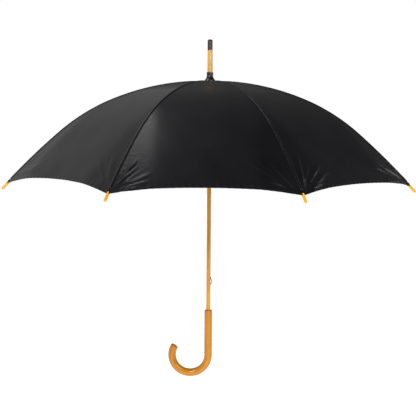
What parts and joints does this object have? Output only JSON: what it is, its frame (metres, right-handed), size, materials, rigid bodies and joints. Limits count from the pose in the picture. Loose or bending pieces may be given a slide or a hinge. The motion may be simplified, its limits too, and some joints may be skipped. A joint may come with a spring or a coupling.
{
  "type": "stick umbrella",
  "caption": "Open stick umbrella with wooden shaft and crook handle, black cloth canopy on steel ribs and stretchers, sliding runner, wooden rib tips and a capped ferrule.",
  "frame": {"origin": "on the shaft's axis, at the middle of the handle's straight grip", "axes": "+Z along the shaft towards the ferrule, -X towards the side that the crook turns to, -Y square to the front gore's hem"},
  "size_m": [0.9778, 0.9778, 0.8875],
  "materials": {
    "shaft_wood": "satin lacquer",
    "handle_wood": "gloss lacquer",
    "ferrule_wood": "gloss lacquer",
    "tip_wood": "gloss lacquer",
    "cap_metal": "gloss dark bronze",
    "cup_plastic": "gloss",
    "runner_metal": "gloss black",
    "rib_metal": "black lacquer",
    "steel": "bright",
    "spring_steel": "dark",
    "canopy_cloth": "satin polyester",
    "strap_cloth": "satin polyester"
  },
  "bodies": {
    "shaft": {"shaft": "shaft_wood", "handle": "handle_wood", "ferrule": "ferrule_wood", "ferrule_cap": "cap_metal", "crown_cup": "cup_plastic", "crown_patch": "canopy_cloth", "top_notch": "runner_metal", "notch_wire": "steel", "notch_pin": "steel", "stop_pin": "steel"},
    "runner": {"runner": "runner_metal", "runner_wire": "steel"},
    "top_spring": {"top_spring": "spring_steel"},
    "bottom_spring": {"bottom_spring": "spring_steel"},
    "rib_1": {"rib_1_inner": "rib_metal"},
    "rib_end_1": {"rib_1_outer": "rib_metal", "tip_1": "tip_wood", "canopy_gore_1": "canopy_cloth"},
    "stretcher_1": {"stretcher_1": "rib_metal"},
    "rib_2": {"rib_2_inner": "rib_metal"},
    "rib_end_2": {"rib_2_outer": "rib_metal", "tip_2": "tip_wood", "canopy_gore_2": "canopy_cloth"},
    "stretcher_2": {"stretcher_2": "rib_metal"},
    "rib_3": {"rib_3_inner": "rib_metal"},
    "rib_end_3": {"rib_3_outer": "rib_metal", "tip_3": "tip_wood", "canopy_gore_3": "canopy_cloth"},
    "stretcher_3": {"stretcher_3": "rib_metal"},
    "rib_4": {"rib_4_inner": "rib_metal"},
    "rib_end_4": {"rib_4_outer": "rib_metal", "tip_4": "tip_wood", "canopy_gore_4": "canopy_cloth"},
    "stretcher_4": {"stretcher_4": "rib_metal"},
    "rib_5": {"rib_5_inner": "rib_metal"},
    "rib_end_5": {"rib_5_outer": "rib_metal", "tip_5": "tip_wood", "canopy_gore_5": "canopy_cloth", "tie_strap": "strap_cloth", "strap_snap": "steel"},
    "stretcher_5": {"stretcher_5": "rib_metal"},
    "rib_6": {"rib_6_inner": "rib_metal"},
    "rib_end_6": {"rib_6_outer": "rib_metal", "tip_6": "tip_wood", "canopy_gore_6": "canopy_cloth"},
    "stretcher_6": {"stretcher_6": "rib_metal"},
    "rib_7": {"rib_7_inner": "rib_metal"},
    "rib_end_7": {"rib_7_outer": "rib_metal", "tip_7": "tip_wood", "canopy_gore_7": "canopy_cloth"},
    "stretcher_7": {"stretcher_7": "rib_metal"},
    "rib_8": {"rib_8_inner": "rib_metal"},
    "rib_end_8": {"rib_8_outer": "rib_metal", "tip_8": "tip_wood", "canopy_gore_8": "canopy_cloth"},
    "stretcher_8": {"stretcher_8": "rib_metal"}
  },
  "joints": [
    {"name": "fold", "type": "hinge", "parent": "shaft", "child": "rib_1", "pos_m": [0.00364, -0.00878, 0.6545], "axis": [0.9239, 0.3827, 0], "range_deg": [0, 78.9], "deforming": ["canopy_gore_1", "canopy_gore_2", "canopy_gore_3", "canopy_gore_4", "canopy_gore_5", "canopy_gore_6", "canopy_gore_7", "canopy_gore_8", "tie_strap", "strap_snap", "top_spring", "bottom_spring"]},
    {"name": "stretcher_1_hinge", "type": "hinge", "parent": "rib_1", "child": "stretcher_1", "pos_m": [0.09481, -0.22889, 0.61206], "axis": [0.9239, 0.3827, 0], "range_deg": [-157.9, 0]},
    {"name": "rib_1_bend", "type": "hinge", "parent": "rib_1", "child": "rib_end_1", "pos_m": [0.09707, -0.23435, 0.61175], "axis": [0.9239, 0.3827, 0], "range_deg": [-27.5, 0]},
    {"name": "rib_2_hinge", "type": "hinge", "parent": "shaft", "child": "rib_2", "pos_m": [0.00878, -0.00364, 0.6545], "axis": [0.3827, 0.9239, 0], "range_deg": [0, 79]},
    {"name": "stretcher_2_hinge", "type": "hinge", "parent": "rib_2", "child": "stretcher_2", "pos_m": [0.22889, -0.09481, 0.61206], "axis": [0.3827, 0.9239, 0], "range_deg": [-157.9, 0]},
    {"name": "rib_2_bend", "type": "hinge", "parent": "rib_2", "child": "rib_end_2", "pos_m": [0.23435, -0.09707, 0.61175], "axis": [0.3827, 0.9239, 0], "range_deg": [-27.5, 0]},
    {"name": "rib_3_hinge", "type": "hinge", "parent": "shaft", "child": "rib_3", "pos_m": [0.00878, 0.00364, 0.6545], "axis": [-0.3827, 0.9239, 0], "range_deg": [0, 79]},
    {"name": "stretcher_3_hinge", "type": "hinge", "parent": "rib_3", "child": "stretcher_3", "pos_m": [0.22889, 0.09481, 0.61206], "axis": [-0.3827, 0.9239, 0], "range_deg": [-157.9, 0]},
    {"name": "rib_3_bend", "type": "hinge", "parent": "rib_3", "child": "rib_end_3", "pos_m": [0.23435, 0.09707, 0.61175], "axis": [-0.3827, 0.9239, 0], "range_deg": [-27.5, 0]},
    {"name": "rib_4_hinge", "type": "hinge", "parent": "shaft", "child": "rib_4", "pos_m": [0.00364, 0.00878, 0.6545], "axis": [-0.9239, 0.3827, 0], "range_deg": [0, 79]},
    {"name": "stretcher_4_hinge", "type": "hinge", "parent": "rib_4", "child": "stretcher_4", "pos_m": [0.09481, 0.22889, 0.61206], "axis": [-0.9239, 0.3827, 0], "range_deg": [-157.9, 0]},
    {"name": "rib_4_bend", "type": "hinge", "parent": "rib_4", "child": "rib_end_4", "pos_m": [0.09707, 0.23435, 0.61175], "axis": [-0.9239, 0.3827, 0], "range_deg": [-27.5, 0]},
    {"name": "rib_5_hinge", "type": "hinge", "parent": "shaft", "child": "rib_5", "pos_m": [-0.00364, 0.00878, 0.6545], "axis": [-0.9239, -0.3827, 0], "range_deg": [0, 79]},
    {"name": "stretcher_5_hinge", "type": "hinge", "parent": "rib_5", "child": "stretcher_5", "pos_m": [-0.09481, 0.22889, 0.61206], "axis": [-0.9239, -0.3827, 0], "range_deg": [-157.9, 0]},
    {"name": "rib_5_bend", "type": "hinge", "parent": "rib_5", "child": "rib_end_5", "pos_m": [-0.09707, 0.23435, 0.61175], "axis": [-0.9239, -0.3827, 0], "range_deg": [-27.5, 0]},
    {"name": "rib_6_hinge", "type": "hinge", "parent": "shaft", "child": "rib_6", "pos_m": [-0.00878, 0.00364, 0.6545], "axis": [-0.3827, -0.9239, 0], "range_deg": [0, 79]},
    {"name": "stretcher_6_hinge", "type": "hinge", "parent": "rib_6", "child": "stretcher_6", "pos_m": [-0.22889, 0.09481, 0.61206], "axis": [-0.3827, -0.9239, 0], "range_deg": [-157.9, 0]},
    {"name": "rib_6_bend", "type": "hinge", "parent": "rib_6", "child": "rib_end_6", "pos_m": [-0.23435, 0.09707, 0.61175], "axis": [-0.3827, -0.9239, 0], "range_deg": [-27.5, 0]},
    {"name": "rib_7_hinge", "type": "hinge", "parent": "shaft", "child": "rib_7", "pos_m": [-0.00878, -0.00364, 0.6545], "axis": [0.3827, -0.9239, 0], "range_deg": [0, 79]},
    {"name": "stretcher_7_hinge", "type": "hinge", "parent": "rib_7", "child": "stretcher_7", "pos_m": [-0.22889, -0.09481, 0.61206], "axis": [0.3827, -0.9239, 0], "range_deg": [-157.9, 0]},
    {"name": "rib_7_bend", "type": "hinge", "parent": "rib_7", "child": "rib_end_7", "pos_m": [-0.23435, -0.09707, 0.61175], "axis": [0.3827, -0.9239, 0], "range_deg": [-27.5, 0]},
    {"name": "rib_8_hinge", "type": "hinge", "parent": "shaft", "child": "rib_8", "pos_m": [-0.00364, -0.00878, 0.6545], "axis": [0.9239, -0.3827, 0], "range_deg": [0, 79]},
    {"name": "stretcher_8_hinge", "type": "hinge", "parent": "rib_8", "child": "stretcher_8", "pos_m": [-0.09481, -0.22889, 0.61206], "axis": [0.9239, -0.3827, 0], "range_deg": [-157.9, 0]},
    {"name": "rib_8_bend", "type": "hinge", "parent": "rib_8", "child": "rib_end_8", "pos_m": [-0.09707, -0.23435, 0.61175], "axis": [0.9239, -0.3827, 0], "range_deg": [-27.5, 0]},
    {"name": "runner_hinge", "type": "hinge", "parent": "stretcher_1", "child": "runner", "pos_m": [0.00364, -0.00878, 0.56962], "axis": [0.9239, 0.3827, 0], "range_deg": [0, 79]},
    {"name": "top_spring_press", "type": "slide", "parent": "shaft", "child": "top_spring", "axis": [-1, 0, 0], "range_m": [0, 0.0048], "stiffness_N_per_m": 1500},
    {"name": "bottom_spring_press", "type": "slide", "parent": "shaft", "child": "bottom_spring", "axis": [-1, 0, 0], "range_m": [0, 0.0048], "stiffness_N_per_m": 1500}
  ],
  "couplings": [
    {"joint": "stretcher_1_hinge", "follows": "fold", "ratio": -2},
    {"joint": "rib_1_bend", "follows": "fold", "ratio": -0.34728},
    {"joint": "rib_2_hinge", "follows": "fold", "ratio": 1},
    {"joint": "stretcher_2_hinge", "follows": "fold", "ratio": -2},
    {"joint": "rib_2_bend", "follows": "fold", "ratio": -0.34728},
    {"joint": "rib_3_hinge", "follows": "fold", "ratio": 1},
    {"joint": "stretcher_3_hinge", "follows": "fold", "ratio": -2},
    {"joint": "rib_3_bend", "follows": "fold", "ratio": -0.34728},
    {"joint": "rib_4_hinge", "follows": "fold", "ratio": 1},
    {"joint": "stretcher_4_hinge", "follows": "fold", "ratio": -2},
    {"joint": "rib_4_bend", "follows": "fold", "ratio": -0.34728},
    {"joint": "rib_5_hinge", "follows": "fold", "ratio": 1},
    {"joint": "stretcher_5_hinge", "follows": "fold", "ratio": -2},
    {"joint": "rib_5_bend", "follows": "fold", "ratio": -0.34728},
    {"joint": "rib_6_hinge", "follows": "fold", "ratio": 1},
    {"joint": "stretcher_6_hinge", "follows": "fold", "ratio": -2},
    {"joint": "rib_6_bend", "follows": "fold", "ratio": -0.34728},
    {"joint": "rib_7_hinge", "follows": "fold", "ratio": 1},
    {"joint": "stretcher_7_hinge", "follows": "fold", "ratio": -2},
    {"joint": "rib_7_bend", "follows": "fold", "ratio": -0.34728},
    {"joint": "rib_8_hinge", "follows": "fold", "ratio": 1},
    {"joint": "stretcher_8_hinge", "follows": "fold", "ratio": -2},
    {"joint": "rib_8_bend", "follows": "fold", "ratio": -0.34728},
    {"joint": "runner_hinge", "follows": "fold", "ratio": 1}
  ]
}
